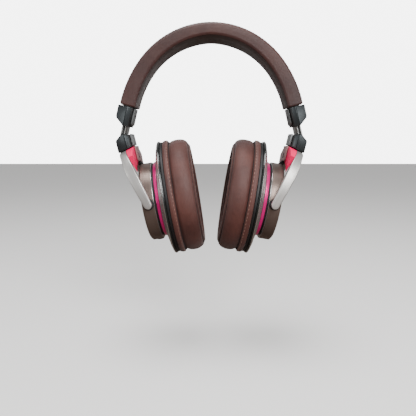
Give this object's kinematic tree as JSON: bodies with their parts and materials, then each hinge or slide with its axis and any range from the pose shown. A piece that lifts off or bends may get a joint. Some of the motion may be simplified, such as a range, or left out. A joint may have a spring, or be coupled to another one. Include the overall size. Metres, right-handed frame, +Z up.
{
  "type": "over ear headphones",
  "caption": "Over ear headphones: leather-padded headband, extending sliders, metal yokes that swivel flat and round cups that tilt in them, with oval leather ear pads.",
  "frame": {"origin": "middle of the headband underside at the crown, where it rests on a head or a stand", "axes": "+X towards the right-hand cup as the front is seen, +Y towards the back, +Z up"},
  "size_m": [0.159, 0.084, 0.189],
  "materials": {
    "band_leather": "soft grain, satin",
    "pad_leather": "soft grain, satin",
    "gunmetal": "satin slate lacquer",
    "grey_plate": "satin",
    "spring_steel": "brushed",
    "satin_aluminium": "satin",
    "taupe_housing": "brown-grey anodised, brushed",
    "red_trim": "satin crimson",
    "magenta_ring": "anodised magenta, polished",
    "rose_plate": "matt",
    "black_plastic": "matt",
    "diaphragm_film": "thin film",
    "black_cloth": "open weave",
    "green_board": "solder mask"
  },
  "bodies": {
    "headband": {"headband_cover": "band_leather", "headband_core": "spring_steel", "headband_pad": "band_leather", "end_cap_left": "gunmetal", "cap_plate_left": "grey_plate", "end_cap_right": "gunmetal", "cap_plate_right": "grey_plate"},
    "left_slider": {"stem_left": "spring_steel", "hinge_block_left": "gunmetal", "hinge_plate_left": "grey_plate"},
    "left_yoke": {"yoke_left": "satin_aluminium", "yoke_accent_left": "red_trim", "yoke_plate_left": "rose_plate", "swivel_pin_left": "spring_steel", "pivot_pin_front_left": "spring_steel", "pivot_pin_back_left": "spring_steel"},
    "left_cup": {"drum_left": "taupe_housing", "back_plate_left": "taupe_housing", "gasket_left": "black_plastic", "accent_ring_left": "magenta_ring", "cup_frame_left": "taupe_housing", "baffle_left": "black_plastic", "ear_pad_left": "pad_leather", "driver_frame_left": "black_plastic", "driver_magnet_left": "spring_steel", "diaphragm_left": "diaphragm_film", "driver_grille_left": "black_plastic", "dust_cloth_left": "black_cloth", "damping_felt_left": "black_cloth", "pivot_bush_front_left": "black_plastic", "pivot_bush_back_left": "black_plastic", "terminal_board_left": "green_board", "jack_socket": "black_plastic"},
    "right_slider": {"stem_right": "spring_steel", "hinge_block_right": "gunmetal", "hinge_plate_right": "grey_plate"},
    "right_yoke": {"yoke_right": "satin_aluminium", "yoke_accent_right": "red_trim", "yoke_plate_right": "rose_plate", "swivel_pin_right": "spring_steel", "pivot_pin_front_right": "spring_steel", "pivot_pin_back_right": "spring_steel"},
    "right_cup": {"drum_right": "taupe_housing", "back_plate_right": "taupe_housing", "gasket_right": "black_plastic", "accent_ring_right": "magenta_ring", "cup_frame_right": "taupe_housing", "baffle_right": "black_plastic", "ear_pad_right": "pad_leather", "driver_frame_right": "black_plastic", "driver_magnet_right": "spring_steel", "diaphragm_right": "diaphragm_film", "driver_grille_right": "black_plastic", "dust_cloth_right": "black_cloth", "damping_felt_right": "black_cloth", "pivot_bush_front_right": "black_plastic", "pivot_bush_back_right": "black_plastic", "terminal_board_right": "green_board"}
  },
  "joints": [
    {"name": "left_slider", "type": "slide", "parent": "headband", "child": "left_slider", "axis": [-0.2419, 0, -0.9703], "range_m": [-0.005, 0.022]},
    {"name": "left_swivel", "type": "hinge", "parent": "left_slider", "child": "left_yoke", "pos_m": [-0.071, 0, -0.0897], "axis": [-0.4384, 0, 0.8988], "range_deg": [-5, 90]},
    {"name": "left_tilt", "type": "hinge", "parent": "left_yoke", "child": "left_cup", "pos_m": [-0.05005, 0, -0.13266], "axis": [0, 1, 0], "range_deg": [-5, 15]},
    {"name": "right_slider", "type": "slide", "parent": "headband", "child": "right_slider", "axis": [0.2419, 0, -0.9703], "range_m": [-0.005, 0.022]},
    {"name": "right_swivel", "type": "hinge", "parent": "right_slider", "child": "right_yoke", "pos_m": [0.071, 0, -0.0897], "axis": [-0.4384, 0, -0.8988], "range_deg": [-5, 90]},
    {"name": "right_tilt", "type": "hinge", "parent": "right_yoke", "child": "right_cup", "pos_m": [0.05005, 0, -0.13266], "axis": [0, -1, 0], "range_deg": [-5, 15]}
  ]
}
